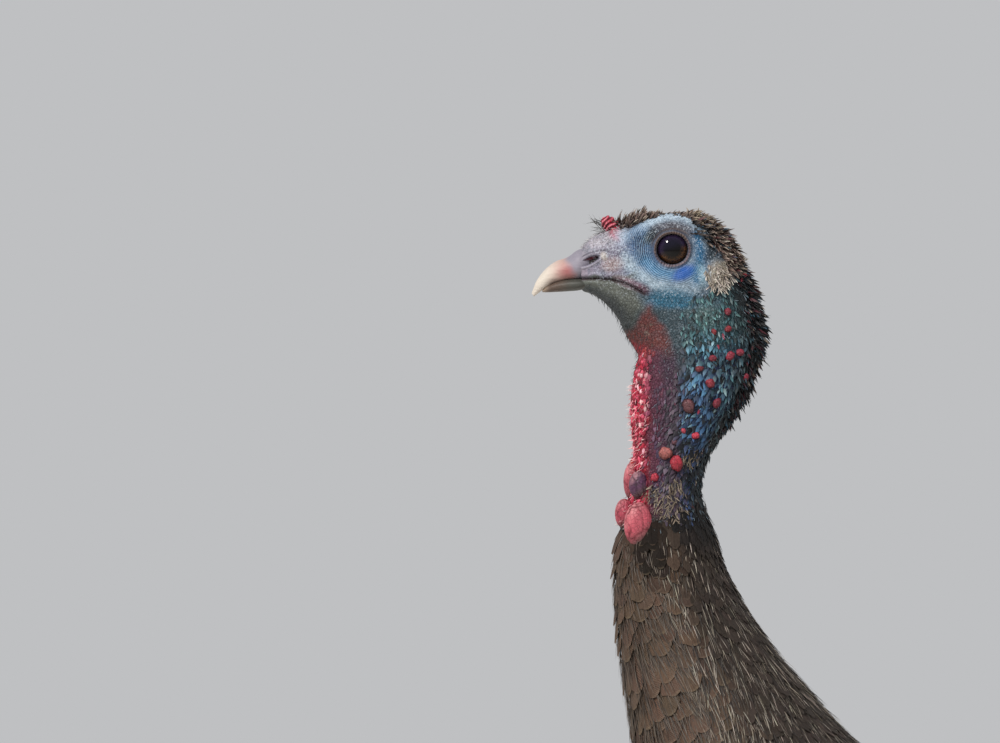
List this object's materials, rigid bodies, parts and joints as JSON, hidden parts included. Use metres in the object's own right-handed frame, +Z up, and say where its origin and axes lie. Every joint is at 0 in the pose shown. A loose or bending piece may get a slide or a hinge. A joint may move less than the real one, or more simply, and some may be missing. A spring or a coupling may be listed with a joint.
{
  "type": "wild turkey",
  "caption": "Life-size young male wild turkey standing alert, neck raised, wings folded and tail closed; a still display model.",
  "frame": {"origin": "on the ground, under the middle of the whole bird's box", "axes": "+Z up; the bird faces -X and its left side is towards -Y"},
  "size_m": [0.7416, 0.223, 0.9333],
  "materials": {
    "face_skin": "fine pebbled skin, pale blue with white flecks",
    "neck_skin": "knobbly skin, deep blue to teal, red at the throat",
    "red_skin": "swollen, creased skin, satin",
    "horn": "smooth horn, ivory tip and pinkish root",
    "eye": "wet, dark brown",
    "neck_feather": "short brown feathers with pale edges",
    "body_feather": "bronze brown feathers, dark edged",
    "wing_feather": "brown coverts, barred flight feathers",
    "tail_feather": "barred chestnut feathers with a dark band and buff tips",
    "leg_scale": "horny plates, dull pink",
    "claw": "dark horn",
    "bristle": "coarse black bristles"
  },
  "bodies": {
    "root": {"head": "face_skin", "bill_upper": "horn", "bill_lower": "horn", "eye_left": "eye", "eye_right": "eye", "snood": "red_skin", "neck_upper": "neck_skin", "neck_lower": "neck_feather", "caruncle_1": "red_skin", "caruncle_2": "red_skin", "caruncle_3": "red_skin", "caruncle_4": "red_skin", "caruncle_5": "red_skin", "caruncle_6": "red_skin", "trunk": "body_feather", "beard": "bristle", "tail": "tail_feather", "wing_left": "wing_feather", "wing_right": "wing_feather", "primaries_left": "wing_feather", "primaries_right": "wing_feather", "thigh_left": "body_feather", "thigh_right": "body_feather", "shank_left": "leg_scale", "shank_right": "leg_scale", "foot_left": "leg_scale", "foot_right": "leg_scale", "spur_left": "claw", "spur_right": "claw", "claw_left_inner": "claw", "claw_left_middle": "claw", "claw_left_outer": "claw", "claw_left_hind": "claw", "claw_right_inner": "claw", "claw_right_middle": "claw", "claw_right_outer": "claw", "claw_right_hind": "claw"}
  },
  "joints": []
}
